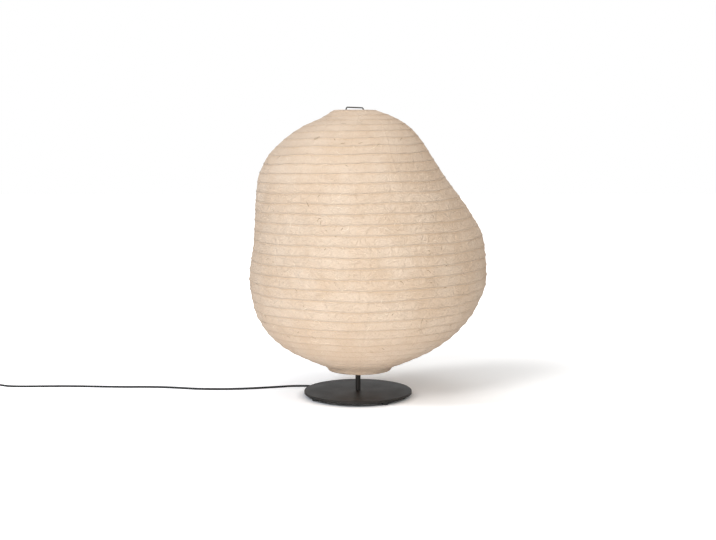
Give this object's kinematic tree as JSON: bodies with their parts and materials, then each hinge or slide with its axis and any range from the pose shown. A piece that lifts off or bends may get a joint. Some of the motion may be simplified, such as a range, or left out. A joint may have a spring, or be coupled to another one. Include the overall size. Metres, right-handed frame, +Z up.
{
  "type": "paper lantern floor lamp",
  "caption": "Low floor lamp: a ribbed paper lantern shade on a wire stretcher and lampholder, a thin stem, a round weighted base, and a flex with switch and plug.",
  "frame": {"origin": "middle of the lamp's footprint box on the floor, without the cord; the stem axis is 23 mm to its left (-X)", "axes": "+Z up; +Y away from the viewer of the picture, so -Y is the front; +X to the viewer's right; the cord runs off to -X"},
  "size_m": [1.3549, 0.5438, 0.6648],
  "materials": {
    "paper": "unbleached mulberry paper with dark fibres, matt",
    "black_coat": "satin black powder coat on steel",
    "wire": "black lacquered steel wire",
    "rubber": "matt black rubber",
    "zinc": "zinc plated steel",
    "black_plastic": "black moulded thermoplastic",
    "black_gloss": "glossy black moulded rocker",
    "ceramic": "white steatite",
    "brass": "plain brass",
    "nickel": "nickel plated brass",
    "opal": "opal diffuser",
    "nylon": "natural nylon",
    "flex": "black PVC flex"
  },
  "bodies": {
    "stand": {"base_plate": "black_coat", "rubber_feet": "rubber", "stem_tube": "black_coat", "lower_nipple": "zinc", "upper_nipple": "zinc", "base_washer": "zinc", "base_nut": "zinc", "cord_saddle": "black_plastic", "saddle_screws": "zinc", "gallery": "black_coat", "holder_cap": "black_plastic", "terminal_insert": "ceramic", "screw_shell": "brass", "centre_contact": "brass", "holder_sleeve": "black_plastic", "inner_flex": "flex", "cord_run": "flex", "cord_coil": "flex", "switch_base": "black_plastic", "switch_cover": "black_plastic", "switch_pin": "zinc", "switch_screws": "zinc", "switch_sleeves": "rubber", "plug_body": "black_plastic", "plug_pins": "nickel", "plug_sleeve": "rubber"},
    "slip_ring": {"slip_washer": "nylon"},
    "shade": {"paper_skin": "paper", "bottom_ring": "wire", "top_ring": "wire", "stretcher": "wire"},
    "bulb": {"bulb_globe": "opal", "bulb_cap": "nickel", "bulb_tip": "brass"},
    "switch_rocker": {"rocker": "black_gloss"}
  },
  "joints": [
    {"name": "shade_turn", "type": "hinge", "parent": "stand", "child": "slip_ring", "pos_m": [-0.023, 0, 0.2535], "axis": [0, 0, 1], "continuous": true},
    {"name": "shade_lift", "type": "slide", "parent": "slip_ring", "child": "shade", "axis": [0, 0, 1], "range_m": [0, 0.36]},
    {"name": "bulb_turn", "type": "hinge", "parent": "stand", "child": "bulb", "pos_m": [-0.023, 0, 0.29], "axis": [0, 0, 1], "continuous": true},
    {"name": "rocker_tilt", "type": "hinge", "parent": "stand", "child": "switch_rocker", "pos_m": [-0.945, 0.082, 0.0138], "axis": [0, 1, 0], "range_deg": [0, 16]}
  ]
}
